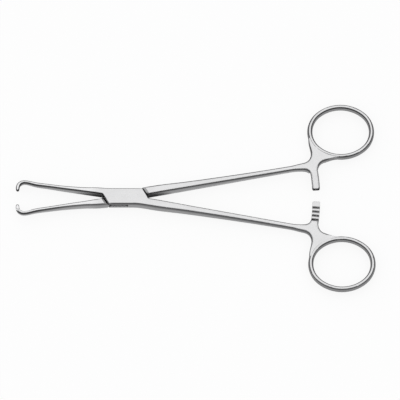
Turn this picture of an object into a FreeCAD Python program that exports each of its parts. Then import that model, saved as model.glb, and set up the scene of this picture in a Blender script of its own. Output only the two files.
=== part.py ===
import FreeCAD, Part
import math
import os
import Sketcher
from FreeCAD import Placement, Rotation, Vector

# Tenaculum forceps, 18 cm, box lock, single inward hook on each jaw.
# Millimetres. +X runs from the jaws to the finger rings, +Z is the face seen from above.
# Both halves are drawn about the pin axis on their middle plane, in the open pose at rest.
# Each half is drawn with its jaw at +Y and its ring at -Y; the tongue half is then mirrored.

SIZES = [
    ("jaw_reach", 54.75, "pin axis to the far side of the hook"),
    ("jaw_spread", 9.0, "middle line to the outside of the hook bend"),
    ("hook_gap_half", 3.4, "middle line to the tip of a hook"),
    ("hook_width", 1.9, "hook seen from above, at the end of its bend"),
    ("hook_bend_outer", 4.0, "outside radius of the hook bend"),
    ("hook_bend_inner", 2.4, "inside radius of the hook bend"),
    ("hook_side_gap", 0.2, "space between the two points as they pass"),
    ("hook_heel", 0.1, "flat of the halved point beyond its overlap"),
    ("hook_ramp", 1.6, "slope from that flat up to the full thickness"),
    ("jaw_width", 1.5, "jaw seen from above, behind the hook"),
    ("box_width", 8.5, "width of the box"),
    ("box_depth", 6.0, "thickness of the box"),
    ("box_end_angle", 59.0, "slant of the box ends to the long axis"),
    ("box_half_length", 9.2, "pin axis square to a slanted box end"),
    ("neck_length", 1.3, "box end to the roots of jaw and shank"),
    ("lip_undercut", 1.3, "how far the box ends are undercut"),
    ("shoulder_gap", 1.85, "box end to the top of the shoulder facing it"),
    ("bevel_width", 1.15, "bevel on that shoulder, seen from above"),
    ("bevel_drop", 0.65, "fall of that bevel"),
    ("tongue_thickness", 2.2, "tongue in the box"),
    ("tongue_width", 6.6, "tongue across its two parallel sides"),
    ("tongue_angle", 22.0, "slant of the tongue to the long axis"),
    ("tongue_relief", 0.85, "side of the tongue set back from the side of the box"),
    ("slide_fit", 0.05, "space on each face of the tongue"),
    ("side_fit", 0.15, "space at the sides of the tongue at its limits"),
    ("pin_diameter", 3.0, "joint pin"),
    ("pin_fit", 0.04, "space around the pin in the tongue"),
    ("close_angle", 9.5, "turn from rest until the hooks and ratchet are shut"),
    ("open_angle", 35.0, "turn from rest until the tongue meets the box wall"),
    ("jaw_tip_depth", 3.4, "thickness of the jaw at the hook"),
    ("shank_end_depth", 3.7, "thickness of the shank at the ratchet"),
    ("shank_root_width", 3.9, "shank seen from above, at the box"),
    ("shank_width", 2.2, "shank seen from above, at its thinnest"),
    ("shank_to_ratchet", 13.2, "end of the straight shank to the ratchet"),
    ("shank_end_y", 15.55, "middle line to the shank axis there"),
    ("ratchet_radius", 95.5, "pin axis to the middle of the ratchet arms"),
    ("ratchet_width", 3.8, "ratchet arm seen from above"),
    ("arm_corner", 0.8, "rounded corners of the end of an arm"),
    ("box_arm_tip", 1.9, "middle line to the end of the lower ratchet arm"),
    ("tongue_arm_tip", 4.0, "middle line to the end of the upper ratchet arm"),
    ("box_arm_gap", 0.85, "when shut, end of the upper arm to the root of the lower"),
    ("tongue_arm_gap", 0.7, "when shut, end of the lower arm to the root of the upper"),
    ("ratchet_gap", 0.1, "space between the tooth crests of the two arms"),
    ("tooth_pitch", 2.16, "ratchet tooth spacing along the arm"),
    ("tooth_depth", 0.65, "ratchet tooth height"),
    ("tooth_crest", 0.75, "flat top of a ratchet tooth"),
    ("ring_beyond_ratchet", 12.5, "ratchet to the centre of a ring"),
    ("ring_centre_y", 35.6, "middle line to the centre of a ring"),
    ("ring_length", 31.0, "ring along the long axis, at the middle of its wire"),
    ("ring_breadth", 26.8, "ring across, at the middle of its wire"),
    ("ring_end_radius", 12.2, "curve of a ring at its two ends"),
    ("ring_wire", 2.6, "ring section seen from above"),
    ("ring_depth", 4.2, "ring section in thickness"),
    ("ring_edge_radius", 0.85, "curve of that section at its top and bottom"),
    ("outer_round", 0.8, "rounding of the outer edges of the shank"),
    ("jaw_round", 0.65, "rounding of the outer edges of the jaw"),
]

TOOTH_COUNT = 4


def make_sheet(doc):
    sheet = doc.addObject("Spreadsheet::Sheet", "Sizes")
    for row, (name, value, meaning) in enumerate(SIZES, start=1):
        sheet.set(f"A{row}", name)
        sheet.set(f"B{row}", str(value))
        sheet.set(f"C{row}", meaning)
        sheet.setAlias(f"B{row}", name)
    doc.recompute()
    return sheet


class Sizes:
    """Driving sizes read from the sheet, and the lengths that follow from them."""

    def __init__(self, sheet):
        for name, _, _ in SIZES:
            setattr(self, name, float(sheet.get(name)))
        self.half_box = self.box_width / 2
        self.half_depth = self.box_depth / 2
        self.arm_inner = self.ratchet_radius - self.ratchet_width / 2
        self.arm_outer = self.ratchet_radius + self.ratchet_width / 2
        self.neck = self.box_half_length + self.neck_length
        self.jaw_root_x = -1.28 * self.neck
        self.shank_root_x = 1.3 * self.neck
        self.shank_end_x = self.ratchet_radius - self.shank_to_ratchet
        self.ring_centre_x = self.ratchet_radius + self.ring_beyond_ratchet
        travel = self.ratchet_radius * math.radians(self.close_angle)
        self.box_arm_root = travel - self.tongue_arm_tip + self.box_arm_gap
        self.tongue_arm_root = travel - self.box_arm_tip + self.tongue_arm_gap


def unit(degrees):
    angle = math.radians(degrees)
    return Vector(math.cos(angle), math.sin(angle), 0)


def line(start, end):
    return Part.LineSegment(start, end)


def arc(start, middle, end):
    return Part.Arc(start, middle, end)


def smooth(points, start_way=None, end_way=None):
    """Curve through points; its parameter runs with the distance between them."""
    travel = [0.0]
    for before, after in zip(points, points[1:]):
        travel.append(travel[-1] + before.distanceToPoint(after))
    curve = Part.BSplineCurve()
    if start_way is None:
        curve.interpolate(Points=points, Parameters=travel)
    else:
        curve.interpolate(
            Points=points,
            Parameters=travel,
            InitialTangent=start_way / start_way.Length,
            FinalTangent=end_way / end_way.Length,
            Scale=False,
        )
    return curve


def mirrored(points, side):
    return [Vector(p.x, p.y * side, p.z) for p in points]


def corner_round(before, corner, after, radius):
    """Start, middle and end of the arc that rounds a corner between two straight edges."""
    to_before = (before - corner).normalize()
    to_after = (after - corner).normalize()
    half = to_before.getAngle(to_after) / 2
    reach = radius / math.tan(half)
    centre = corner + (to_before + to_after).normalize() * (radius / math.sin(half))
    toward = (corner - centre).normalize()
    return corner + to_before * reach, centre + toward * radius, corner + to_after * reach


# Outline of one half, jaw at +Y and ring at -Y

def jaw_line(size, part):
    """Middle of the jaw and its width, from the box (0) to the hook bend (1)."""
    root_middle = 0.725 * size.half_box
    bend_middle = size.jaw_spread - size.jaw_width / 2
    bend_x = -(size.jaw_reach - size.hook_bend_outer)
    rise = bend_middle - root_middle
    x = size.jaw_root_x + (bend_x - size.jaw_root_x) * part
    middle = root_middle + rise * (0.58 * part + 0.42 * part ** 2)
    width = size.jaw_width + (0.74 * size.half_box - size.jaw_width) * (1 - part) ** 3.5
    return x, middle, width


def jaw_outer_points(size):
    points = []
    for part in (0.86, 0.7, 0.5, 0.3, 0.14, 0.0):
        x, middle, width = jaw_line(size, part)
        points.append(Vector(x, middle + width / 2, 0))
    return points


def jaw_inner_points(size):
    points = []
    for part in (0.0, 0.14, 0.3, 0.5, 0.7, 0.88):
        x, middle, width = jaw_line(size, part)
        points.append(Vector(x, middle - width / 2, 0))
    return points


def hook_outer_centre(size):
    return Vector(-size.jaw_reach + size.hook_bend_outer, size.jaw_spread - size.hook_bend_outer, 0)


def hook_inner_centre(size):
    x = -size.jaw_reach + size.hook_width + size.hook_bend_inner
    y = size.jaw_spread - size.jaw_width + 0.1 - size.hook_bend_inner
    return Vector(x, y, 0)


def hook_outer_points(size):
    """Outside of the hook: end of the tip rounding, then the bend up to its top."""
    centre = hook_outer_centre(size)
    low = centre + unit(192) * size.hook_bend_outer
    fall = low.y - size.hook_gap_half - 0.3 * size.hook_width
    tip_side = low + Vector(math.tan(math.radians(12)) * fall, -fall, 0)
    return [tip_side, low, centre + unit(141) * size.hook_bend_outer,
            centre + unit(90) * size.hook_bend_outer]


def hook_inner_points(size):
    """Inside of the hook: top of the bend, then down to the tip rounding."""
    centre = hook_inner_centre(size)
    low = centre + unit(169) * size.hook_bend_inner
    fall = low.y - size.hook_gap_half - 0.3 * size.hook_width
    tip_side = low - Vector(math.tan(math.radians(11)) * fall, fall, 0)
    return [centre + unit(90) * size.hook_bend_inner, centre + unit(130) * size.hook_bend_inner,
            low, tip_side]


def shank_line(size, part):
    """Middle of the shank and its width, from the box (0) to the ratchet (1)."""
    root_middle = -0.85 * size.half_box
    x = size.shank_root_x + (size.shank_end_x - size.shank_root_x) * part
    bow = 0.8 * part * (1 - part)
    middle = root_middle + (-size.shank_end_y - root_middle) * part + bow
    width = size.shank_width + (size.shank_root_width - size.shank_width) * (1 - part) ** 2
    return x, middle, width


def shank_side_points(size, sign):
    points = []
    for part in (0.0, 0.2, 0.4, 0.6, 0.8, 1.0):
        x, middle, width = shank_line(size, part)
        points.append(Vector(x, middle + sign * width / 2, 0))
    return points


def ring_point(size, degrees, grow=0.0):
    across = size.ring_length / 2 + grow
    up = size.ring_breadth / 2 + grow
    way = unit(degrees)
    return Vector(size.ring_centre_x + across * way.x, -size.ring_centre_y + up * way.y, 0)


def arm_point(size, radius, y):
    return Vector(math.sqrt(radius ** 2 - y ** 2), y, 0)


def arm_geometry(size, tip_y, side):
    """Ratchet arm: two arcs about the pin axis, and an end with rounded corners."""
    corner = size.arm_corner
    end_angle = -math.degrees(math.asin((tip_y + corner) / size.ratchet_radius))
    out = unit(end_angle)
    along = Vector(-out.y, out.x, 0)
    inner_centre = out * (size.arm_inner + corner)
    outer_centre = out * (size.arm_outer - corner)
    slant = math.sqrt(0.5)
    root_inner = arm_point(size, size.arm_inner, arm_root_y(size, size.arm_inner))
    root_outer = arm_point(size, size.arm_outer, arm_root_y(size, size.arm_outer))
    half_inner = unit((math.degrees(math.atan2(root_inner.y, root_inner.x)) + end_angle) / 2)
    half_outer = unit((math.degrees(math.atan2(root_outer.y, root_outer.x)) + end_angle) / 2)
    pieces = [
        [root_inner, half_inner * size.arm_inner, out * size.arm_inner],
        [
            out * size.arm_inner,
            inner_centre + (along - out) * (slant * corner),
            inner_centre + along * corner,
        ],
        [inner_centre + along * corner, outer_centre + along * corner],
        [
            outer_centre + along * corner,
            outer_centre + (along + out) * (slant * corner),
            out * size.arm_outer,
        ],
        [out * size.arm_outer, half_outer * size.arm_outer, root_outer],
    ]
    made = []
    for piece in pieces:
        points = mirrored(piece, side)
        made.append(line(*points) if len(points) == 2 else arc(*points))
    return made


def arm_root_y(size, radius):
    """Where the arm's side leaves the web, on the inner or outer side of the arm."""
    x, middle, width = shank_line(size, 1.0)
    inner_edge = middle + width / 2
    if radius < size.ratchet_radius:
        return inner_edge + 0.63 * size.ratchet_width
    return inner_edge + 0.2 * size.ratchet_width


def arc_way(point):
    """Direction of an arc about the pin axis, towards +Y."""
    return Vector(-point.y, point.x, 0).normalize()


def shank_way(size, sign):
    """Direction of a shank edge where it runs into the web."""
    x, middle, width = shank_line(size, 0.99)
    before = Vector(x, middle + sign * width / 2, 0)
    return shank_side_points(size, sign)[-1] - before


def handle_geometry(size, tip_y, shank_start, side):
    """Shank inner edge, ratchet arm, web into the ring, shank outer edge back to the box."""
    root_inner = arm_point(size, size.arm_inner, arm_root_y(size, size.arm_inner))
    root_outer = arm_point(size, size.arm_outer, arm_root_y(size, size.arm_outer))
    turn = 0.72 * size.ratchet_width
    hide = 0.22 * size.ring_wire
    inner = [shank_start] + shank_side_points(size, 1)
    inner_end = inner[-1]
    crook = [
        inner_end,
        Vector(size.arm_inner - 2.0 * turn, inner_end.y - 0.14 * size.ratchet_width, 0),
        Vector(root_inner.x - 0.33 * turn, root_inner.y - 0.72 * turn, 0),
        root_inner,
    ]
    web_top = [
        root_outer,
        Vector(root_outer.x + 0.06 * turn, root_outer.y - turn, 0),
        Vector(root_outer.x + 0.6 * turn, root_outer.y - 1.9 * turn, 0),
        Vector(root_outer.x + 1.6 * turn, root_outer.y - 2.35 * turn, 0),
        ring_point(size, 102, 0.46 * size.ring_wire),
        ring_point(size, 86, hide),
    ]
    hidden = [ring_point(size, angle, -hide) for angle in (86, 110, 135, 160, 180)]
    outer_start = Vector(0.36 * size.neck, -size.half_box, 0)
    outer = [outer_start] + shank_side_points(size, -1)
    outer_end = outer[-1]
    web_side = [
        outer_end,
        Vector(size.arm_inner - 2.2 * turn, outer_end.y - 1.35, 0),
        Vector(size.arm_inner - 0.85 * turn, outer_end.y - 2.75, 0),
        Vector(size.arm_inner - 0.3 * turn, outer_end.y - 5.3, 0),
        ring_point(size, 158, size.ring_wire * 0.75),
        ring_point(size, 180, hide),
    ]
    ahead = Vector(1, 0, 0)
    inner_way = shank_way(size, 1)
    outer_way = shank_way(size, -1)
    curves = [
        (inner, inner[1] - inner[0], inner_way),
        (crook, inner_way, arc_way(root_inner)),
        (web_top, -arc_way(root_outer), unit(-5)),
        (hidden, -ahead, -arc_way(ahead)),
        (web_side, outer_way, -arc_way(ahead)),
        (outer, ahead, outer_way),
    ]
    made = [smooth(mirrored(points, side), *mirrored(ways, side)) for points, *ways in curves]
    shank_inner, crook, web_top_edge, hidden_edge, web_edge, shank_outer = made
    ends = [line(*mirrored([web_top[-1], hidden[0]], side))]
    ends.append(line(*mirrored([hidden[-1], web_side[-1]], side)))
    parts = [shank_inner, crook] + arm_geometry(size, tip_y, side)
    parts += [web_top_edge, ends[0], hidden_edge, ends[1], web_edge, shank_outer]
    return parts, mirrored([outer_start], side)[0]


def jaw_geometry(size, jaw_start, side):
    """Jaw inner edge from the box, hook, tip, and outer edge back to the box."""
    outer_hook = hook_outer_points(size)
    inner_hook = hook_inner_points(size)
    inner = [jaw_start] + jaw_inner_points(size) + [inner_hook[0]]
    outer_end = Vector(-0.75 * size.neck, size.half_box, 0)
    outer = [outer_hook[-1]] + jaw_outer_points(size) + [outer_end]
    tip = (outer_hook[0] + inner_hook[-1]) / 2
    tip.y = size.hook_gap_half
    ahead = Vector(1, 0, 0)
    parts = [smooth(mirrored(inner, side), mirrored([inner[1] - jaw_start], side)[0], -ahead)]
    parts.append(arc(*mirrored(inner_hook[:3], side)))
    parts.append(line(*mirrored(inner_hook[2:], side)))
    parts.append(arc(*mirrored([inner_hook[-1], tip, outer_hook[0]], side)))
    parts.append(line(*mirrored(outer_hook[:2], side)))
    parts.append(arc(*mirrored(outer_hook[1:], side)))
    parts.append(smooth(mirrored(outer, side), ahead, ahead))
    return parts, mirrored([outer_end], side)[0]


def box_end_line(size, y, sign):
    """Point of the slanted box end at height y; sign is -1 for the jaw end."""
    slant = math.radians(size.box_end_angle)
    x = (sign * size.box_half_length - y * math.cos(slant)) / math.sin(slant)
    return Vector(x, y, 0)


def box_half_outline(size):
    jaw_root = jaw_inner_points(size)[0]
    shank_root = shank_side_points(size, 1)[0]
    jaw_corner = box_end_line(size, jaw_root.y - 0.35, -1)
    shank_corner = box_end_line(size, shank_root.y + 0.35, 1)
    low_corner = box_end_line(size, -size.half_box, -1)
    high_corner = box_end_line(size, size.half_box, 1)
    radius = 0.25 * size.half_box
    jaw_arc = corner_round(low_corner, jaw_corner, jaw_root, radius)
    shank_arc = corner_round(high_corner, shank_corner, shank_root, radius)
    jaw_parts, jaw_end = jaw_geometry(size, jaw_arc[2], 1)
    handle_parts, handle_end = handle_geometry(size, size.box_arm_tip, shank_arc[2], 1)
    return (
        [line(low_corner, jaw_arc[0]), arc(*jaw_arc)]
        + jaw_parts
        + [line(jaw_end, high_corner), line(high_corner, shank_arc[0]), arc(*shank_arc)]
        + handle_parts
        + [line(handle_end, low_corner)]
    )


def tongue_side_point(size, x, sign):
    """Point on a straight side of the tongue; sign is +1 for the side towards the jaw."""
    slant = math.radians(size.tongue_angle)
    y = (sign * size.tongue_width / 2 - x * math.sin(slant)) / math.cos(slant)
    return Vector(x, y, 0)


def tongue_corner_x(size):
    """Where a side of the tongue runs out at the width of the box."""
    slant = math.radians(size.tongue_angle)
    return (size.tongue_width / 2 - size.half_box * math.cos(slant)) / math.sin(slant)


def tongue_half_outline(size):
    crotch_x = 1.165 * size.neck
    jaw_crotch = tongue_side_point(size, -crotch_x, -1)
    shank_crotch = tongue_side_point(size, crotch_x, 1)
    corner_x = tongue_corner_x(size)
    high = Vector(corner_x, size.half_box, 0)
    low = Vector(-corner_x, -size.half_box, 0)
    jaw_parts, jaw_end = jaw_geometry(size, jaw_crotch, -1)
    handle_parts, handle_end = handle_geometry(size, size.tongue_arm_tip, shank_crotch, -1)
    low, jaw_crotch, high, shank_crotch = mirrored([low, jaw_crotch, high, shank_crotch], -1)
    return (
        [line(low, jaw_crotch)]
        + jaw_parts
        + [line(jaw_end, high), line(high, shank_crotch)]
        + handle_parts
        + [line(handle_end, low)]
    )


# Sketches and features

def origin_item(body, role):
    for item in body.Origin.OriginFeatures:
        if item.Role == role:
            return item
    raise ValueError(role)


def new_sketch(body, name, role, geometry, offset=None):
    sketch = body.newObject("Sketcher::SketchObject", name)
    sketch.AttachmentSupport = [(origin_item(body, role), "")]
    sketch.MapMode = "FlatFace"
    if offset is not None:
        sketch.AttachmentOffset = offset
    sketch.addGeometry(geometry, False)
    sketch.Visibility = False
    return sketch


def closed_lines(points):
    return [line(a, b) for a, b in zip(points, points[1:] + points[:1])]


def pocket(body, name, sketch, length=None, expression=None):
    """Cut both ways from the sketch: right through, or a total length."""
    feature = body.newObject("PartDesign::Pocket", name)
    feature.Profile = sketch
    feature.Midplane = True
    feature.Refine = False
    if length is None:
        feature.Type = "ThroughAll"
    else:
        feature.Length = length
    if expression is not None:
        feature.setExpression("Length", expression)
    return feature


def edges_over(shape, spot, reach=0.05):
    """Names of the edges of the two faces that pass over a point of the plan."""
    names = []
    for number, edge in enumerate(shape.Edges, start=1):
        box = edge.BoundBox
        beside = not (box.XMin < spot.x < box.XMax and box.YMin - reach < spot.y < box.YMax + reach)
        if beside or box.XLength < 4 * reach:
            continue
        ruler = Part.makeLine(Vector(spot.x, spot.y, -50), Vector(spot.x, spot.y, 50))
        if edge.distToShape(ruler)[0] < reach:
            names.append(f"Edge{number}")
    return names


def fillet(doc, body, name, spot, radius_name):
    base = body.Tip
    names = edges_over(base.Shape, spot)
    feature = body.newObject("PartDesign::Fillet", name)
    feature.Base = (base, names)
    feature.Refine = False
    feature.setExpression("Radius", f"Sizes.{radius_name}")
    doc.recompute()
    return feature


def taper(start_x, end_x, high, low):
    """Easy slope between two flats: an arc, a straight stretch and an arc, all tangent."""
    sense = math.copysign(1, end_x - start_x)
    reach = abs(end_x - start_x)
    drop = high - low
    radius = reach ** 2 / (8 * drop)
    from_centre = math.hypot(reach / 2, radius - drop / 2)
    tilt = math.atan2(reach / 2, radius - drop / 2) - math.acos(radius / from_centre)
    points = []
    for angle in (0, tilt / 2, tilt):
        points.append(Vector(math.sin(angle), math.cos(angle) - 1, 0) * radius)
    first = [Vector(start_x + sense * p.x, high + p.y, 0) for p in points]
    last = [Vector(end_x - sense * p.x, low - p.y, 0) for p in reversed(points)]
    return [arc(*first), line(first[2], last[0]), arc(*last)]


def depth_profile(size):
    """Side view: flat over the box, thinning to the hook and to the ratchet."""
    flat = 0.95 * size.neck
    far = size.ring_centre_x + size.ring_length
    tip = -size.jaw_reach - 2
    high = size.half_depth
    jaw_half = size.jaw_tip_depth / 2
    end_half = size.shank_end_depth / 2
    shank_end = 1.04 * size.shank_end_x
    upper = taper(-flat, tip, high, jaw_half) + taper(flat, shank_end, high, end_half)
    upper.append(line(Vector(-flat, high, 0), Vector(flat, high, 0)))
    upper.append(line(Vector(shank_end, end_half, 0), Vector(far, end_half, 0)))
    lower = [mirror_down(item) for item in upper]
    ends = [line(Vector(x, half, 0), Vector(x, -half, 0)) for x, half in ((tip, jaw_half), (far, end_half))]
    return upper + lower + ends


def mirror_down(item):
    copy = item.copy()
    copy.mirror(Vector(0, 0, 0), Vector(1, 0, 0))
    return copy


def make_blank(doc, body, size, outline):
    """What the plan and the side view of a half have in common."""
    pad = body.newObject("PartDesign::Pad", "Blank")
    pad.Profile = new_sketch(body, "Outline", "XY_Plane", outline)
    pad.Midplane = True
    pad.Refine = False
    pad.setExpression("Length", "Sizes.box_depth * 1.5")
    side_view = doc.addObject("PartDesign::Body", "SideView")
    wide = side_view.newObject("PartDesign::Pad", "SideViewPad")
    wide.Profile = new_sketch(side_view, "DepthProfile", "XZ_Plane", depth_profile(size))
    wide.Midplane = True
    wide.setExpression("Length", "Sizes.ring_centre_y * 4")
    doc.recompute()
    thinned = body.newObject("PartDesign::Boolean", "Thinned")
    thinned.setObjects([side_view])
    thinned.Type = "Common"
    thinned.Refine = False
    body.Tip = thinned
    doc.recompute()


def cut_hook_point(body, size, side):
    """Half the thickness is taken off the hook, so the two points pass side by side."""
    overlap = 2 * (size.jaw_reach * math.sin(math.radians(size.close_angle / 2)) - size.hook_gap_half)
    level = -size.hook_side_gap / 2
    heel = size.hook_gap_half + max(overlap, 0) + size.hook_heel
    over = size.box_depth
    below = size.hook_gap_half - 2
    slope = size.jaw_tip_depth / 2 / size.hook_ramp
    points = [
        Vector(below, level, 0),
        Vector(heel, level, 0),
        Vector(heel + over / slope, level + over, 0),
        Vector(below, level + over, 0),
    ]
    placed = [Vector(p.x * side, -p.y * side, 0) for p in points]
    start = Placement(Vector(0, 0, -size.jaw_reach), Rotation())
    sketch = new_sketch(body, "PointCut", "YZ_Plane", closed_lines(placed), start)
    pocket(body, "HookPoint", sketch, 2 * (size.hook_width + size.hook_bend_inner))


def oval(middle, half_length, half_breadth, end_radius, turn=0.0):
    """Tangent arcs close to an ellipse, from the end of its length; turn is where that points."""
    square = half_length ** 2 + half_breadth ** 2
    flank = (square - 2 * half_length * end_radius) / (2 * (half_breadth - end_radius))
    join = math.degrees(math.atan2(flank - half_breadth, half_length - end_radius))
    ahead = unit(turn) * (half_length - end_radius)
    across = unit(turn + 90) * (half_breadth - flank)
    stretches = [
        (middle + ahead, end_radius, 0, join),
        (middle + across, flank, join, 180 - join),
        (middle - ahead, end_radius, 180 - join, 180 + join),
        (middle - across, flank, 180 + join, 360 - join),
        (middle + ahead, end_radius, 360 - join, 360),
    ]
    arcs = []
    for centre, radius, start, stop in stretches:
        angles = (start, (start + stop) / 2, stop)
        arcs.append(arc(*[centre + unit(turn + angle) * radius for angle in angles]))
    return arcs


def add_ring(body, size, side):
    """Finger ring: an oval wire section carried round the oval of its middle line."""
    half_length = size.ring_length / 2
    centre = Vector(size.ring_centre_x, -size.ring_centre_y * side, 0)
    path = oval(centre, half_length, size.ring_breadth / 2, size.ring_end_radius)
    path_sketch = new_sketch(body, "RingPath", "XY_Plane", path)
    middle = Vector(size.ring_centre_x + half_length, 0, 0)
    section = oval(middle, size.ring_depth / 2, size.ring_wire / 2, size.ring_edge_radius, 90)
    offset = Placement(Vector(0, 0, size.ring_centre_y * side), Rotation())
    section_sketch = new_sketch(body, "RingSection", "XZ_Plane", section, offset)
    ring = body.newObject("PartDesign::AdditivePipe", "FingerRing")
    ring.Profile = section_sketch
    ring.Refine = False
    ring.Spine = (path_sketch, [f"Edge{number}" for number in range(1, len(path) + 1)])
    return ring


def polar(radius, degrees, side):
    point = unit(degrees) * radius
    return Vector(point.x, point.y * side, 0)


def cut_ratchet(doc, body, size, root_y, side):
    """Thin the arm to half its depth, then cut saw teeth into the thinned face."""
    face = size.ratchet_gap / 2
    to_degrees = math.degrees(1 / size.ratchet_radius)
    start = -root_y * to_degrees
    end = to_degrees
    near = size.arm_inner - 0.13 * size.ratchet_width
    far = size.arm_outer + 0.3 * size.ratchet_width
    angles = (start, (start + end) / 2, end)
    below = [polar(near, angle, side) for angle in angles]
    above = [polar(far, angle, side) for angle in reversed(angles)]
    geometry = [arc(*below), line(below[2], above[0]), arc(*above), line(above[2], below[0])]
    level = Placement(Vector(0, 0, -side * face), Rotation())
    cut = body.newObject("PartDesign::Pocket", "ArmThinning")
    cut.Profile = new_sketch(body, "ArmFace", "XY_Plane", geometry, level)
    cut.Reversed = side > 0
    cut.Refine = False
    cut.setExpression("Length", "Sizes.box_depth")
    doc.recompute()

    # One groove, square to the arm at its foot, then repeated about the pin axis
    run = size.tooth_pitch - size.tooth_crest
    deep = size.tooth_depth
    foot = root_y - 0.1 * size.tooth_pitch
    groove = [
        Vector(0, face - 0.5, 0),
        Vector(0, face, 0),
        Vector(0.9 * run, face + deep, 0),
        Vector(run, face + deep, 0),
        Vector(run, face - 0.5, 0),
    ]
    placed = [Vector(p.x * side, -p.y * side, 0) for p in groove]
    turn = Rotation(Vector(0, 0, 1), -foot * to_degrees * side)
    stand = Rotation(Vector(1, 1, 1), 120)
    sketch = body.newObject("Sketcher::SketchObject", "ToothShape")
    sketch.AttachmentSupport = [(origin_item(body, "XY_Plane"), "")]
    sketch.MapMode = "FlatFace"
    base = turn.multVec(Vector(size.ratchet_radius, 0, 0))
    sketch.AttachmentOffset = Placement(base, turn.multiply(stand))
    sketch.addGeometry(closed_lines(placed), False)
    sketch.Visibility = False
    tooth = pocket(body, "FirstTooth", sketch, 1.0, "Sizes.ratchet_width * 1.5")
    doc.recompute()
    teeth = body.newObject("PartDesign::PolarPattern", "Teeth")
    teeth.Originals = [tooth]
    teeth.Axis = (origin_item(body, "Z_Axis"), [""])
    teeth.Mode = "Spacing"
    teeth.Offset = size.tooth_pitch * to_degrees
    teeth.Occurrences = TOOTH_COUNT
    teeth.Reversed = side < 0
    teeth.Refine = False
    body.Tip = teeth
    doc.recompute()


# The box lock

def slanted_sketch(body, name, size, side, geometry, shift=0.0):
    """Upright sketch across a slanted box end: x away from the pin, y up."""
    slant = 90 - size.box_end_angle
    across = Rotation(Vector(0, 0, 1), slant * side)
    stand = Rotation(Vector(1, 0, 0), 90)
    along = across.multVec(Vector(0, 1, 0))
    sketch = body.newObject("Sketcher::SketchObject", name)
    sketch.AttachmentSupport = [(origin_item(body, "XY_Plane"), "")]
    sketch.MapMode = "FlatFace"
    sketch.AttachmentOffset = Placement(along * shift, across.multiply(stand))
    sketch.addGeometry(geometry, False)
    sketch.Visibility = False
    return sketch


def cut_slot(doc, body, size):
    """Mortise through the box: its walls stop the tongue at both ends of its travel."""
    reach = size.tongue_width / 2 + size.side_fit
    shut = size.tongue_angle - size.close_angle
    wide = size.tongue_angle + size.open_angle
    shut_way = unit(shut)
    wide_way = unit(wide)
    half_turn = math.radians((wide - shut) / 2)
    corner = unit((shut + wide) / 2 + 90) * (reach / math.cos(half_turn))
    over = 1.5 * size.half_box
    jaw_side = corner - shut_way * ((1.25 * size.neck + corner.x) / shut_way.x)
    up_side = corner + wide_way * ((over - corner.y) / wide_way.y)
    far = Vector(1.35 * size.neck, over, 0)
    half = [jaw_side, corner, up_side, far]
    points = half + [Vector(-p.x, -p.y, 0) for p in half]
    thick = "Sizes.tongue_thickness + 2 * Sizes.slide_fit"
    pocket(body, "Slot", new_sketch(body, "SlotPlan", "XY_Plane", closed_lines(points)), 1.0, thick)
    doc.recompute()


def cut_box_lips(doc, body, size):
    """Bevel under the slanted ends of the box, matching the shoulders that slide below."""
    low = size.tongue_thickness / 2 + size.slide_fit
    top = size.half_depth
    out = size.box_half_length
    length = 0.72 * size.box_width / math.sin(math.radians(size.box_end_angle))
    reach = 0.5 * size.neck_length
    inside = out - size.lip_undercut
    for name, sign in (("JawLips", -1), ("ShankLips", 1)):
        parts = []
        for up in (1, -1):
            lip = [
                Vector(sign * out, up * (top - 0.1), 0),
                Vector(sign * inside, up * low, 0),
                Vector(sign * inside, up * (low - 0.2), 0),
                Vector(sign * (out + reach), up * (low - 0.2), 0),
                Vector(sign * (out + reach), up * (top - 0.1), 0),
            ]
            parts += closed_lines(lip)
        slant = math.radians(size.box_end_angle)
        crotch_shift = out / math.tan(slant) + 0.3 * size.half_box
        shift = -sign * (crotch_shift - 0.5 * length)
        pocket(body, name, slanted_sketch(body, name + "Section", size, 1, parts, shift), length)
        doc.recompute()


def cut_tongue(doc, body, size):
    """Both faces cut down to the tongue between two shoulders with bevelled brows."""
    low = size.tongue_thickness / 2
    top = size.half_depth
    foot = size.box_half_length
    brow = foot + size.shoulder_gap
    half = [
        Vector(foot, low, 0),
        Vector(brow - size.bevel_width, top - size.bevel_drop, 0),
        Vector(brow + size.bevel_width, top + size.bevel_drop, 0),
    ]
    outline = half + [Vector(-p.x, p.y, 0) for p in reversed(half)]
    parts = closed_lines(outline) + closed_lines([Vector(p.x, -p.y, 0) for p in outline])
    pocket(body, "TongueFaces", slanted_sketch(body, "Shoulders", size, 1, parts))
    doc.recompute()


def relieve_tongue(doc, body, size):
    """The tongue's two outer corners are set back, so the slot stays open beside them."""
    level = size.half_box - size.tongue_relief
    over = size.half_box + 1
    land = 0.1 * size.neck_length
    parts = []
    for sign in (1, -1):
        inner = box_end_line(size, sign * level, sign)
        outer = box_end_line(size, sign * over, sign)
        back = sign * tongue_side_point(size, 0, 1).y
        corners = [
            inner - Vector(sign * land, 0, 0),
            outer - Vector(sign * land, 0, 0),
            Vector(-back, sign * over, 0),
            Vector(-back, sign * level, 0),
        ]
        parts += closed_lines(corners)
    pocket(body, "TongueRelief", new_sketch(body, "ReliefPlan", "XY_Plane", parts))
    doc.recompute()


def cut_pin_hole(doc, body, diameter):
    sketch = body.newObject("Sketcher::SketchObject", "PinHole")
    sketch.AttachmentSupport = [(origin_item(body, "XY_Plane"), "")]
    sketch.MapMode = "FlatFace"
    sketch.addGeometry(Part.Circle(Vector(0, 0, 0), Vector(0, 0, 1), 1.0), False)
    sketch.addConstraint(Sketcher.Constraint("Coincident", 0, 3, -1, 1))
    sketch.addConstraint(Sketcher.Constraint("Diameter", 0, 2.0))
    sketch.setExpression("Constraints[1]", diameter)
    sketch.Visibility = False
    pocket(body, "PinBore", sketch)
    doc.recompute()


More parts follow.
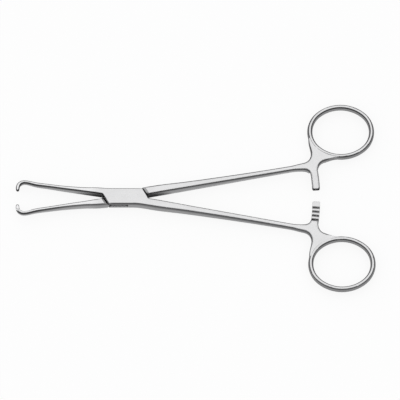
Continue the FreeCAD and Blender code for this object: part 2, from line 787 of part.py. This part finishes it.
def make_pin(doc, size):
    """Headless pin, riveted and ground flush with both faces of the box."""
    body = doc.addObject("PartDesign::Body", "joint_pin")
    sketch = body.newObject("Sketcher::SketchObject", "PinCircle")
    sketch.AttachmentSupport = [(origin_item(body, "XY_Plane"), "")]
    sketch.MapMode = "FlatFace"
    sketch.addGeometry(Part.Circle(Vector(0, 0, 0), Vector(0, 0, 1), 1.0), False)
    sketch.addConstraint(Sketcher.Constraint("Coincident", 0, 3, -1, 1))
    sketch.addConstraint(Sketcher.Constraint("Diameter", 0, 2.0))
    sketch.setExpression("Constraints[1]", "Sizes.pin_diameter")
    pad = body.newObject("PartDesign::Pad", "Pin")
    pad.Profile = sketch
    pad.Midplane = True
    pad.setExpression("Length", "Sizes.box_depth")
    sketch.Visibility = False
    doc.recompute()
    return body


def round_edges(doc, body, size, side):
    """The outer edges are rounded the whole way from the hook to the ring."""
    jaw_spot, shank_spot = mirrored([jaw_outer_points(size)[2], shank_side_points(size, -1)[2]], side)
    fillet(doc, body, "JawRound", jaw_spot, "jaw_round")
    fillet(doc, body, "ShankRound", shank_spot, "outer_round")


def finish_half(doc, body, size, side, root_y):
    round_edges(doc, body, size, side)
    add_ring(body, size, side)
    doc.recompute()
    cut_hook_point(body, size, side)
    cut_ratchet(doc, body, size, root_y, side)


def make_box_half(doc, size):
    body = doc.addObject("PartDesign::Body", "box_half")
    make_blank(doc, body, size, box_half_outline(size))
    finish_half(doc, body, size, 1, size.box_arm_root)
    cut_slot(doc, body, size)
    cut_box_lips(doc, body, size)
    cut_pin_hole(doc, body, "Sizes.pin_diameter")
    return body


def make_tongue_half(doc, size):
    body = doc.addObject("PartDesign::Body", "tongue_half")
    make_blank(doc, body, size, tongue_half_outline(size))
    finish_half(doc, body, size, -1, size.tongue_arm_root)
    cut_tongue(doc, body, size)
    relieve_tongue(doc, body, size)
    cut_pin_hole(doc, body, "Sizes.pin_diameter + 2 * Sizes.pin_fit")
    return body


def check(doc):
    for item in doc.Objects:
        if "Invalid" in item.State or "Error" in item.State:
            raise RuntimeError(f"{item.Name} {item.State}")
        shape = getattr(item, "Shape", None)
        if item.TypeId == "PartDesign::Body" and (shape.isNull() or not shape.isValid()):
            raise RuntimeError(f"{item.Name} has no valid shape")


def main():
    os.makedirs("parts", exist_ok=True)
    doc = FreeCAD.newDocument("forceps")
    size = Sizes(make_sheet(doc))
    box = make_box_half(doc, size)
    tongue = make_tongue_half(doc, size)
    pin = make_pin(doc, size)
    bodies = (box, tongue, pin)
    for body in bodies:
        body.setExpression(".Placement.Base.z", "Sizes.box_depth / 2")
    doc.recompute()
    check(doc)
    for body in bodies:
        body.Shape.exportStep(f"parts/{body.Label}.step")
        print(body.Label, round(body.Shape.Volume, 1), len(body.Shape.Solids), body.Shape.BoundBox)


main()
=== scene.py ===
import math

import bpy
from mathutils import Matrix, Vector

# Tenaculum forceps lying on a pale table under a wide soft light.
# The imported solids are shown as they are, and get their steel here.
# Metres, in the frame of the solids: +X to the finger rings, +Z up.
# Most looks change softly: a pair of values is where a change begins and
# where it is complete, or what it changes from and to.

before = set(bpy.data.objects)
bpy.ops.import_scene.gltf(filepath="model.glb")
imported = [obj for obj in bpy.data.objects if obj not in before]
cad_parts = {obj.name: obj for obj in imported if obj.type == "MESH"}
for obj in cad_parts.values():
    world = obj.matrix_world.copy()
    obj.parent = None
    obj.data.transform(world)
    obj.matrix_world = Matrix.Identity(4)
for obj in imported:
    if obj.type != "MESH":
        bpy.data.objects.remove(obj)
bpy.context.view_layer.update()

MM = 0.001
FALLING = (1.0, 0.0)

# Camera: looks down at the forceps, tilted towards the lower ring
VIEW_TILT = math.radians(22.0)
VIEW_TARGET = Vector((37.35 * MM, -1.08 * MM, 3.0 * MM))
VIEW_DISTANCE = 3.0
VIEW_WIDTH = 200 * MM
VIEW_CLIP_START = 0.01
SENSOR_MILLIMETRES = 36.0

# Table
FLOOR_RADIUS = 4.0
FLOOR_SIDES = 96
FLOOR_COLOUR = (0.93, 0.93, 0.935, 1)
FLOOR_MOTTLE_SCALE = 14.0
FLOOR_MOTTLE_SHADES = (0.992, 1.0)
FLOOR_GLOW = 0.86

# Soft light overhead, leaning to the far side and the jaws, over a dim room.
# It fades out towards 80 degrees from its middle, and is full within 48.
LIGHT_WAY = Vector((-0.16, 0.22, 1.0)).normalized()
LIGHT_EDGE = (math.cos(math.radians(80.0)), math.cos(math.radians(48.0)))
LIGHT_COLOUR = (1, 1, 1, 1)
LIGHT_STRENGTH = 1.08
ROOM_STRENGTH = 0.50

# Finger rings: the ellipse in the middle of the wire, and between which of
# its values, which are 1 on it and grow outwards, their look ends
RING_CENTRE_X = 108 * MM
RING_CENTRE_Y = 35.6 * MM
RING_HALF_LENGTH = 15.5 * MM
RING_HALF_BREADTH = 13.4 * MM
RING_OUTSIDE_LEVELS = (1.16, 1.62)

# The ratchet arms and the webs behind them, and how far the lower arm with
# its teeth reaches from the web towards the middle
ARM_START_X = (88 * MM, 89 * MM)
WEB_START_X = (88 * MM, 91 * MM)
TEETH_FOOT_Y = (-12.2 * MM, -11.2 * MM)
TEETH_TOP_Y = (0.0, 1 * MM)

# Steel by how its surface lies: level faces, rounded rims, upright flanks.
# The rim and flank colours are painted shade, for the dim room they mirror;
# the deep colour is painted shade in corners and on cut ends, and the box
# end colour is painted light.
FACE_COLOUR = (0.72, 0.72, 0.725, 1)
RIM_PAINTED_SHADE = (0.075, 0.075, 0.077, 1)
FLANK_PAINTED_SHADE = (0.39, 0.39, 0.395, 1)
DEEP_PAINTED_SHADE = (0.03, 0.03, 0.031, 1)
BOX_END_PAINTED_LIGHT = (0.62, 0.62, 0.625, 1)

# How much of the light is mirrored at a grazing angle; the darker tint is painted shade on rims and
# flanks
FACE_GRAZING_TINT = (1, 1, 1, 1)
SHADED_GRAZING_TINT = (0.5, 0.5, 0.5, 1)

# How steeply up or down the normal points, from 0 to 1: all rim or all flank
# below the first value, none above the second. The finger rings and the
# lower teeth have narrower rims than the rest.
NARROW_RIM_LEVELS = (0.79, 0.94)
BROAD_RIM_LEVELS = (0.89, 0.985)
FLANK_LEVELS = (0.34, 0.62)

# Painted shade on a flank: dark under the near face, lighter further down and
# lightest at its foot, near the table. On the rings, round in section, it has one painted shade.
FLANK_TOP_SHADE = 0.24
FLANK_LOW_SHADE = 1.12
FLANK_FOOT_SHADE = 1.75
FLANK_RING_SHADE = 0.72
FLANK_TOP_DEPTHS = (0.7 * MM, 2.3 * MM)
FLANK_LOW_DEPTHS = (2.3 * MM, 5.5 * MM)
FLANK_FOOT_HEIGHTS = (0.2 * MM, 1.5 * MM)

# Half the depth of the forceps, from the jaw tips over the box to the webs
MIDDLE_Z = 3.0 * MM
JAW_HALF_DEPTH = 1.7 * MM
BOX_HALF_DEPTH = 3.0 * MM
WEB_HALF_DEPTH = 1.85 * MM
JAW_DEPTH_X = (-60 * MM, -10 * MM)
SHANK_DEPTH_X = (10 * MM, 86 * MM)

# Painted shade is lighter on the edges outside the lower shank, box and jaw
OUTSIDE_TOP_SHADE = 0.42
OUTSIDE_RIM_SHADE = 1.5
OUTSIDE_Y = (-3.5 * MM, -1.0 * MM)
OUTSIDE_X = (-42 * MM, -22 * MM)

# The bends of the hooks get the darkest painted shade on their flanks. The slope of the halved lower
# hook point, which faces up and inwards, is painted as bright as the faces, without the painted rim
# and flank shade.
HOOK_TOP_SHADE = 0.08
HOOK_SHADE_X = (-46 * MM, -38 * MM)
HOOK_X = (-49 * MM, -47 * MM)
HOOK_SLOPE_Y = -5.0 * MM
HOOK_SLOPE_INWARD = (0.3, 0.5)
HOOK_SLOPE_UPWARD = (0.35, 0.55)

# Painted light: the slanted walls in the open ends of the box lock are painted pale, short of the
# crotches, and get no painted corner shade. They are measured from the pin, square to their slant.
BOX_END_ANGLE = math.radians(59.0)
BOX_END_BEGINS = (7.6 * MM, 8.2 * MM)
BOX_END_FADES = (11.0 * MM, 11.6 * MM)
BOX_END_SIDEWAYS = (0.6, 0.8)
BOX_END_RIM_SHARE = 0.5
CROTCH_Y = (1.2 * MM, 2.4 * MM)

# How far a sharp edge looks rounded, and where that changes
FINE_EDGE = 0.3 * MM
JAW_EDGE = 0.6 * MM
HOOK_EDGE = 0.8 * MM
SHANK_EDGE = 1.1 * MM
WEB_EDGE = 1.7 * MM
SHANK_START_X = (10 * MM, 12 * MM)
JAW_START_X = (-12.5 * MM, -10.5 * MM)
EDGE_SAMPLES = 8

# The pin is ground flush, so no edge shows around it
PIN_EDGE = (2.2 * MM, 2.5 * MM)

# Painted shade: the cut ends of the ratchet arms are painted near black
ARM_END_Y = (4.5 * MM, 4.8 * MM)
ARM_END_SIDEWAYS = (0.6, 0.85)

# Painted shade: crevices are painted darker, and a flank in a corner is painted nearly black
CREVICE_REACH = 1.6 * MM
CREVICE_LEVELS = (0.10, 0.70)
CREVICE_SHADES = (0.60, 1.0)
CORNER_REACH = 7 * MM
CORNER_LEVELS = (0.28, 0.58)
OPENNESS_SAMPLES = 8

# The jaws are brighter than the rest
JAW_BRIGHTER = 1.12
JAW_BRIGHTER_X = (-18.5 * MM, -12.5 * MM)

# Polishing marks: straight along the forceps, and around the finger rings.
# Three scales are repeats per metre along the marks, across them and up;
# the scratches and what has one scale keep to the forceps' own axes.
MARKS_TURN_X = (89 * MM, 95 * MM)
MARKS_RING_RADIUS = 14 * MM
BRUSHING_SCALES = (45, 2200, 2200)
HAIRLINE_SCALES = (120, 7000, 7000)
SCRATCH_SCALES = (900, 260, 500)
SCRATCH_LEVELS = (0.66, 0.72)
CLOUD_SCALE = 110.0
GRAIN_SCALE = 5200.0

# What the marks do to the colour
SHADE_LEVELS = (0.2, 0.8)
CLOUD_SHADES = (0.955, 1.03)
BRUSHING_SHADES = (0.95, 1.04)

# Roughness of the steel, and what marks, rims and flanks add to it
HALVES_ROUGHNESS = 0.30
PIN_ROUGHNESS = 0.27
ROUGHNESS_LEVELS = (0.25, 0.75)
BRUSHING_ROUGHNESS = (-0.06, 0.07)
CLOUD_ROUGHNESS = (-0.02, 0.03)
RIM_ROUGHNESS = -0.14
FLANK_ROUGHNESS = 0.10
SCRATCH_ROUGHNESS = 0.08

# What the marks add to the relief
BRUSHING_RELIEF = 0.55
HAIRLINE_RELIEF = 0.3
GRAIN_RELIEF = 0.15
SCRATCH_RELIEF = -0.25
RELIEF_STRENGTH = 0.35
RELIEF_DEPTH = 0.012 * MM


class Nodes:
    """Short ways to add and join the nodes of a material or a world."""

    def __init__(self, owner):
        owner.use_nodes = True
        self.tree = owner.node_tree
        self.tree.nodes.clear()

    def add(self, kind, **settings):
        node = self.tree.nodes.new(kind)
        for name, value in settings.items():
            setattr(node, name, value)
        return node

    def join(self, source, target):
        self.tree.links.new(source, target)

    def feed(self, socket, value):
        """Links an output socket, or sets a plain value."""
        if isinstance(value, bpy.types.NodeSocket):
            self.join(value, socket)
        else:
            socket.default_value = value

    def fill(self, node, *values):
        """Feeds the inputs of a node in their order, and gives its first output."""
        for socket, value in zip(node.inputs, values):
            self.feed(socket, value)
        return node.outputs[0]

    def show(self, shader, output_kind="ShaderNodeOutputMaterial"):
        self.join(shader, self.add(output_kind).inputs["Surface"])

    def math(self, operation, *values):
        return self.fill(self.add("ShaderNodeMath", operation=operation), *values)

    def chain(self, operation, values):
        """Joins all the values by one operation."""
        result, *others = values
        for value in others:
            result = self.math(operation, result, value)
        return result

    def product(self, *values):
        return self.chain("MULTIPLY", values)

    def total(self, *values):
        return self.chain("ADD", values)

    def largest(self, *values):
        return self.chain("MAXIMUM", values)

    def weighted(self, *pairs):
        """Sum of values, each times its weight."""
        return self.total(*(self.product(value, weight) for value, weight in pairs))

    def distance(self, x, y):
        squares = self.total(self.math("POWER", x, 2.0), self.math("POWER", y, 2.0))
        return self.math("SQRT", squares)

    def ramp(self, value, levels, results=(0.0, 1.0)):
        """Goes smoothly between the results as the value goes between the levels."""
        node = self.add("ShaderNodeMapRange", interpolation_type="SMOOTHSTEP")
        return self.fill(node, value, *levels, *results)

    def blend(self, share, first, second):
        """Goes smoothly from the first value to the second as the share grows to 1."""
        return self.ramp(share, (0.0, 1.0), (first, second))

    def mix(self, share, first, second, data_type="RGBA", blend_type="MIX"):
        """Goes evenly from the first colour or vector to the second."""
        node = self.add("ShaderNodeMix", data_type=data_type, blend_type=blend_type)
        self.feed(node.inputs["Factor"], share)
        self.feed(node.inputs["A"], first)
        self.feed(node.inputs["B"], second)
        return node.outputs["Result"]

    def dim(self, colour, share):
        """Colour times a grey value."""
        return self.mix(1.0, colour, share, blend_type="MULTIPLY")

    def parts(self, vector):
        """The x, y and z of a vector."""
        node = self.add("ShaderNodeSeparateXYZ")
        self.join(vector, node.inputs[0])
        return node.outputs

    def stretch(self, vector, factors):
        return self.fill(self.add("ShaderNodeVectorMath", operation="MULTIPLY"), vector, factors)

    def noise(self, vector, scale=1.0, detail=3.0, roughness=0.55):
        node = self.add("ShaderNodeTexNoise")
        self.join(vector, node.inputs["Vector"])
        node.inputs["Scale"].default_value = scale
        node.inputs["Detail"].default_value = detail
        node.inputs["Roughness"].default_value = roughness
        return node.outputs["Fac"]

    def openness(self, reach):
        """How open the surroundings are within reach, from 0 to 1."""
        node = self.add("ShaderNodeAmbientOcclusion", samples=OPENNESS_SAMPLES, only_local=False)
        node.inputs["Distance"].default_value = reach
        return node.outputs["AO"]


class Spot:
    """A point of the steel: where it lies, how its surface faces, and its share of rim and flank."""

    def __init__(self, nodes):
        self.place = nodes.add("ShaderNodeTexCoord").outputs["Object"]
        self.x, self.y, self.z = nodes.parts(self.place)
        surface = nodes.add("ShaderNodeNewGeometry").outputs["True Normal"]
        _, self.facing_y, self.facing_z = nodes.parts(surface)
        self.off_ring = off_ring(nodes, self)
        self.outside = outside(nodes, self)
        self.broad_edged = nodes.product(self.off_ring, off_teeth(nodes, self))
        self.normal = soft_normal(nodes, self)
        _, _, normal_z = nodes.parts(self.normal)
        # The lower hook slope counts as a level face, so it gets no painted rim or flank shade
        level = nodes.largest(nodes.math("ABSOLUTE", normal_z), on_hook_slope(nodes, self))
        rim_levels = [nodes.blend(self.broad_edged, narrow, broad)
                      for narrow, broad in zip(NARROW_RIM_LEVELS, BROAD_RIM_LEVELS)]
        self.rim = nodes.ramp(level, rim_levels, FALLING)
        self.flank = nodes.ramp(level, FLANK_LEVELS, FALLING)


def from_ring_centre(nodes, spot):
    """Along and across from the middle of the nearer finger ring."""
    along = nodes.math("SUBTRACT", spot.x, RING_CENTRE_X)
    across = nodes.math("SUBTRACT", nodes.math("ABSOLUTE", spot.y), RING_CENTRE_Y)
    return along, across


def off_ring(nodes, spot):
    """0 on the finger rings, 1 on the rest."""
    along, across = from_ring_centre(nodes, spot)
    along = nodes.math("POWER", nodes.math("DIVIDE", along, RING_HALF_LENGTH), 2.0)
    across = nodes.math("POWER", nodes.math("DIVIDE", across, RING_HALF_BREADTH), 2.0)
    return nodes.ramp(nodes.total(along, across), RING_OUTSIDE_LEVELS)


def off_teeth(nodes, spot):
    """0 on the lower ratchet arm with its teeth, 1 on the rest."""
    past_foot = nodes.ramp(spot.y, TEETH_FOOT_Y, FALLING)
    past_top = nodes.ramp(spot.y, TEETH_TOP_Y)
    short_of_arm = nodes.ramp(spot.x, ARM_START_X, FALLING)
    return nodes.largest(past_foot, past_top, short_of_arm)


def outside(nodes, spot):
    """1 on the lower shank, box and jaw, 0 on the rest and on the hook."""
    return nodes.product(nodes.ramp(spot.y, OUTSIDE_Y, FALLING), nodes.ramp(spot.x, OUTSIDE_X))


def edge_radius(nodes, spot):
    """Broad on shanks and webs, less on jaws and hooks, fine on box, lower teeth and rings."""
    past_box = nodes.product(nodes.ramp(spot.x, SHANK_START_X), spot.broad_edged)
    broad = nodes.ramp(spot.x, WEB_START_X, (SHANK_EDGE, WEB_EDGE))
    shanks = nodes.blend(past_box, FINE_EDGE, broad)
    jaws = nodes.ramp(spot.x, JAW_START_X, (JAW_EDGE, FINE_EDGE))
    hooks = nodes.ramp(spot.x, HOOK_X, (HOOK_EDGE, 0.0))
    return nodes.largest(shanks, jaws, hooks)


def soft_normal(nodes, spot):
    """Normal that bends over the sharp edges, apart from the flush pin."""
    edge = nodes.add("ShaderNodeBevel", samples=EDGE_SAMPLES)
    nodes.join(edge_radius(nodes, spot), edge.inputs["Radius"])
    surface = nodes.add("ShaderNodeNewGeometry").outputs["Normal"]
    off_pin = nodes.ramp(nodes.distance(spot.x, spot.y), PIN_EDGE)
    return nodes.mix(off_pin, surface, edge.outputs[0], data_type="VECTOR")


def on_hook_slope(nodes, spot):
    """1 on the slope of the lower hook point, which faces up and to the upper hook."""
    at_hook = nodes.math("LESS_THAN", spot.x, HOOK_X[1])
    below_gap = nodes.math("LESS_THAN", spot.y, HOOK_SLOPE_Y)
    inward = nodes.ramp(spot.facing_y, HOOK_SLOPE_INWARD)
    upward = nodes.ramp(spot.facing_z, HOOK_SLOPE_UPWARD)
    return nodes.product(at_hook, below_gap, inward, upward)


def in_box_end(nodes, spot):
    """1 on the slanted walls in the two open ends of the box lock, short of the crotches."""
    across = nodes.weighted((spot.x, math.sin(BOX_END_ANGLE)), (spot.y, math.cos(BOX_END_ANGLE)))
    across = nodes.math("ABSOLUTE", across)
    begun = nodes.ramp(across, BOX_END_BEGINS)
    not_past = nodes.ramp(across, BOX_END_FADES, FALLING)
    slanted = nodes.ramp(nodes.math("ABSOLUTE", spot.facing_y), BOX_END_SIDEWAYS, FALLING)
    off_crotch = nodes.ramp(nodes.product(spot.y, nodes.math("SIGN", spot.x)), CROTCH_Y)
    return nodes.product(begun, not_past, slanted, off_crotch)


def on_cut_end(nodes, spot):
    """1 on the end faces of the two ratchet arms."""
    on_arm = nodes.ramp(spot.x, ARM_START_X)
    near_end = nodes.ramp(nodes.math("ABSOLUTE", spot.y), ARM_END_Y, FALLING)
    end_face = nodes.ramp(nodes.math("ABSOLUTE", spot.facing_y), ARM_END_SIDEWAYS)
    return nodes.product(on_arm, near_end, end_face)


def flank_shade(nodes, spot):
    """Painted shade of a flank by its depth under the near face, and one painted shade on the rings.
    """
    to_jaw = nodes.ramp(spot.x, JAW_DEPTH_X, (JAW_HALF_DEPTH, BOX_HALF_DEPTH))
    to_web = nodes.ramp(spot.x, SHANK_DEPTH_X, (BOX_HALF_DEPTH, WEB_HALF_DEPTH))
    half_depth = nodes.math("MINIMUM", to_jaw, to_web)
    below_top = nodes.math("SUBTRACT", nodes.total(half_depth, MIDDLE_Z), spot.z)
    above_foot = nodes.math("SUBTRACT", spot.z, nodes.math("SUBTRACT", MIDDLE_Z, half_depth))
    top_shade = nodes.ramp(spot.x, HOOK_SHADE_X, (HOOK_TOP_SHADE, FLANK_TOP_SHADE))
    top_shade = nodes.blend(spot.outside, top_shade, OUTSIDE_TOP_SHADE)
    upper = nodes.ramp(below_top, FLANK_TOP_DEPTHS, (top_shade, 1.0))
    lower = nodes.ramp(below_top, FLANK_LOW_DEPTHS, (1.0, FLANK_LOW_SHADE))
    foot = nodes.ramp(above_foot, FLANK_FOOT_HEIGHTS, (FLANK_FOOT_SHADE, 1.0))
    return nodes.blend(spot.off_ring, FLANK_RING_SHADE, nodes.product(upper, lower, foot))


def along_marks(nodes, spot):
    """Coordinates in metres: along the polishing marks, across them, and up."""
    along, across = from_ring_centre(nodes, spot)
    around = nodes.product(nodes.math("ARCTAN2", across, along), MARKS_RING_RADIUS)
    outward = nodes.distance(along, across)
    on_ring = nodes.fill(nodes.add("ShaderNodeCombineXYZ"), around, outward, spot.z)
    return nodes.mix(nodes.ramp(spot.x, MARKS_TURN_X), spot.place, on_ring, data_type="VECTOR")


class Polish:
    """The marks that grinding and polishing leave, as fields from 0 to 1."""

    def __init__(self, nodes, spot):
        marks = along_marks(nodes, spot)
        self.brushing = nodes.noise(nodes.stretch(marks, BRUSHING_SCALES), detail=5.0, roughness=0.7)
        self.hairlines = nodes.noise(nodes.stretch(marks, HAIRLINE_SCALES), detail=2.0)
        scratches = nodes.noise(nodes.stretch(spot.place, SCRATCH_SCALES), detail=2.0)
        self.scratches = nodes.ramp(scratches, SCRATCH_LEVELS)
        self.clouds = nodes.noise(spot.place, CLOUD_SCALE)
        self.grain = nodes.noise(spot.place, GRAIN_SCALE, detail=2.0)


def steel_colour(nodes, spot, polish):
    """Pale faces, painted shade as dark rims, shaded flanks and near black in corners and on cut
    ends, and painted light on the box end walls.
    """
    # Painted shade on the rims, lighter outside the lower shank, box and jaw
    rim_colour = nodes.dim(RIM_PAINTED_SHADE, nodes.blend(spot.outside, 1.0, OUTSIDE_RIM_SHADE))
    # Painted shade on the flanks, by their depth under the near face
    flank_colour = nodes.dim(FLANK_PAINTED_SHADE, flank_shade(nodes, spot))
    box_end = in_box_end(nodes, spot)
    half_rim = nodes.product(spot.rim, BOX_END_RIM_SHARE)
    box_end_light_share = nodes.product(box_end, nodes.largest(spot.flank, half_rim))
    # Painted shade: darker in crevices and near black on flanks in corners, by how open the
    # surroundings are
    crevice_shade = nodes.ramp(nodes.openness(CREVICE_REACH), CREVICE_LEVELS, CREVICE_SHADES)
    corner_shade = nodes.ramp(nodes.openness(CORNER_REACH), CORNER_LEVELS, FALLING)
    corner_shade = nodes.product(spot.flank, corner_shade, nodes.math("SUBTRACT", 1.0, box_end))

    # Painted shade: rims and upright flanks are painted darker than the level faces
    colour = nodes.mix(spot.rim, FACE_COLOUR, rim_colour)
    colour = nodes.mix(spot.flank, colour, flank_colour)
    # Painted light: the slanted walls in the open ends of the box lock are painted pale
    colour = nodes.mix(box_end_light_share, colour, BOX_END_PAINTED_LIGHT)
    colour = nodes.dim(colour, nodes.ramp(polish.clouds, SHADE_LEVELS, CLOUD_SHADES))
    colour = nodes.dim(colour, nodes.ramp(polish.brushing, SHADE_LEVELS, BRUSHING_SHADES))
    colour = nodes.dim(colour, crevice_shade)
    colour = nodes.mix(corner_shade, colour, DEEP_PAINTED_SHADE)
    # Painted shade: the cut ends of the ratchet arms are painted near black
    colour = nodes.mix(on_cut_end(nodes, spot), colour, DEEP_PAINTED_SHADE)
    return nodes.dim(colour, nodes.ramp(spot.x, JAW_BRIGHTER_X, (JAW_BRIGHTER, 1.0)))


def steel_tint(nodes, spot):
    """Painted shade: rims and flanks get a darker tint, so they mirror less of the room at a grazing
    angle.
    """
    dark = nodes.largest(spot.rim, spot.flank)
    # Painted shade: a darker grazing tint on rims and flanks
    return nodes.mix(dark, FACE_GRAZING_TINT, SHADED_GRAZING_TINT)


def steel_roughness(nodes, spot, polish, roughness):
    """Rims are smoother, flanks and scratches rougher."""
    brushing = [roughness + change for change in BRUSHING_ROUGHNESS]
    return nodes.total(
        nodes.ramp(polish.brushing, ROUGHNESS_LEVELS, brushing),
        nodes.ramp(polish.clouds, ROUGHNESS_LEVELS, CLOUD_ROUGHNESS),
        nodes.weighted((spot.rim, RIM_ROUGHNESS), (spot.flank, FLANK_ROUGHNESS),
                       (polish.scratches, SCRATCH_ROUGHNESS)))


def steel_relief(nodes, spot, polish):
    """Fine marks on the rounded normal."""
    bump = nodes.add("ShaderNodeBump")
    bump.inputs["Strength"].default_value = RELIEF_STRENGTH
    bump.inputs["Distance"].default_value = RELIEF_DEPTH
    height = nodes.weighted((polish.brushing, BRUSHING_RELIEF), (polish.hairlines, HAIRLINE_RELIEF),
                            (polish.grain, GRAIN_RELIEF), (polish.scratches, SCRATCH_RELIEF))
    nodes.join(height, bump.inputs["Height"])
    nodes.join(spot.normal, bump.inputs["Normal"])
    return bump.outputs[0]


def steel(name, roughness):
    """Satin stainless steel: brushed faces and smoother rims, with painted shade that darkens rims
    and greys upright flanks.
    """
    material = bpy.data.materials.new(name)
    nodes = Nodes(material)
    spot = Spot(nodes)
    polish = Polish(nodes, spot)
    shader = nodes.add("ShaderNodeBsdfPrincipled")
    shader.inputs["Metallic"].default_value = 1.0
    nodes.join(steel_colour(nodes, spot, polish), shader.inputs["Base Color"])
    nodes.join(steel_tint(nodes, spot), shader.inputs["Specular Tint"])
    nodes.join(steel_roughness(nodes, spot, polish, roughness), shader.inputs["Roughness"])
    nodes.join(steel_relief(nodes, spot, polish), shader.inputs["Normal"])
    nodes.show(shader.outputs[0])
    return material


def table_top(name):
    """Plain pale table, matt, seen near white while it keeps the shadow."""
    material = bpy.data.materials.new(name)
    nodes = Nodes(material)
    place = nodes.add("ShaderNodeTexCoord").outputs["Object"]
    mottle = nodes.ramp(nodes.noise(place, FLOOR_MOTTLE_SCALE), SHADE_LEVELS, FLOOR_MOTTLE_SHADES)
    matt = nodes.add("ShaderNodeBsdfDiffuse")
    nodes.join(nodes.dim(FLOOR_COLOUR, mottle), matt.inputs["Color"])
    glow = nodes.add("ShaderNodeEmission")
    path = nodes.add("ShaderNodeLightPath").outputs
    seen = nodes.largest(path["Is Camera Ray"], path["Is Glossy Ray"], path["Is Transmission Ray"])
    both = nodes.add("ShaderNodeMixShader")
    nodes.show(nodes.fill(both, nodes.product(seen, FLOOR_GLOW), matt.outputs[0], glow.outputs[0]))
    return material


def make_floor():
    bpy.ops.mesh.primitive_circle_add(vertices=FLOOR_SIDES, radius=FLOOR_RADIUS, fill_type="NGON")
    floor = bpy.context.object
    floor.name = "floor"
    floor.data.materials.append(table_top("table_top"))


def make_light():
    """A wide soft light overhead in a dim room."""
    world = bpy.data.worlds.new("studio")
    bpy.context.scene.world = world
    nodes = Nodes(world)
    overhead = nodes.add("ShaderNodeVectorMath", operation="DOT_PRODUCT")
    nodes.join(nodes.add("ShaderNodeTexCoord").outputs["Generated"], overhead.inputs[0])
    overhead.inputs[1].default_value = LIGHT_WAY
    strength = nodes.ramp(overhead.outputs["Value"], LIGHT_EDGE, (ROOM_STRENGTH, LIGHT_STRENGTH))
    background = nodes.add("ShaderNodeBackground")
    background.inputs["Color"].default_value = LIGHT_COLOUR
    nodes.join(strength, background.inputs["Strength"])
    nodes.show(background.outputs[0], "ShaderNodeOutputWorld")


def make_camera():
    camera_data = bpy.data.cameras.new("camera")
    camera_data.sensor_width = SENSOR_MILLIMETRES
    camera_data.lens = SENSOR_MILLIMETRES * VIEW_DISTANCE / VIEW_WIDTH
    camera_data.clip_start = VIEW_CLIP_START
    camera = bpy.data.objects.new("camera", camera_data)
    bpy.context.collection.objects.link(camera)
    back = Vector((0, -math.sin(VIEW_TILT), math.cos(VIEW_TILT)))
    up = Vector((0, math.cos(VIEW_TILT), math.sin(VIEW_TILT)))
    right = up.cross(back)
    axes = Matrix((right, up, back)).transposed()
    camera.matrix_world = Matrix.Translation(VIEW_TARGET + back * VIEW_DISTANCE) @ axes.to_4x4()
    bpy.context.scene.camera = camera


def dress_nodes():
    # Both steels carry painted shade on rims, flanks, corners and cut ends, and painted light on the
    # box end walls
    halves = steel("satin_steel_with_painted_shade", HALVES_ROUGHNESS)
    pin = steel("pin_steel_with_painted_shade", PIN_ROUGHNESS)
    for name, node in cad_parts.items():
        node.material_slots[0].material = pin if name == "joint_pin" else halves


def main():
    dress_nodes()
    make_floor()
    make_light()
    make_camera()
    scene = bpy.context.scene
    scene.view_settings.view_transform = "Standard"


main()
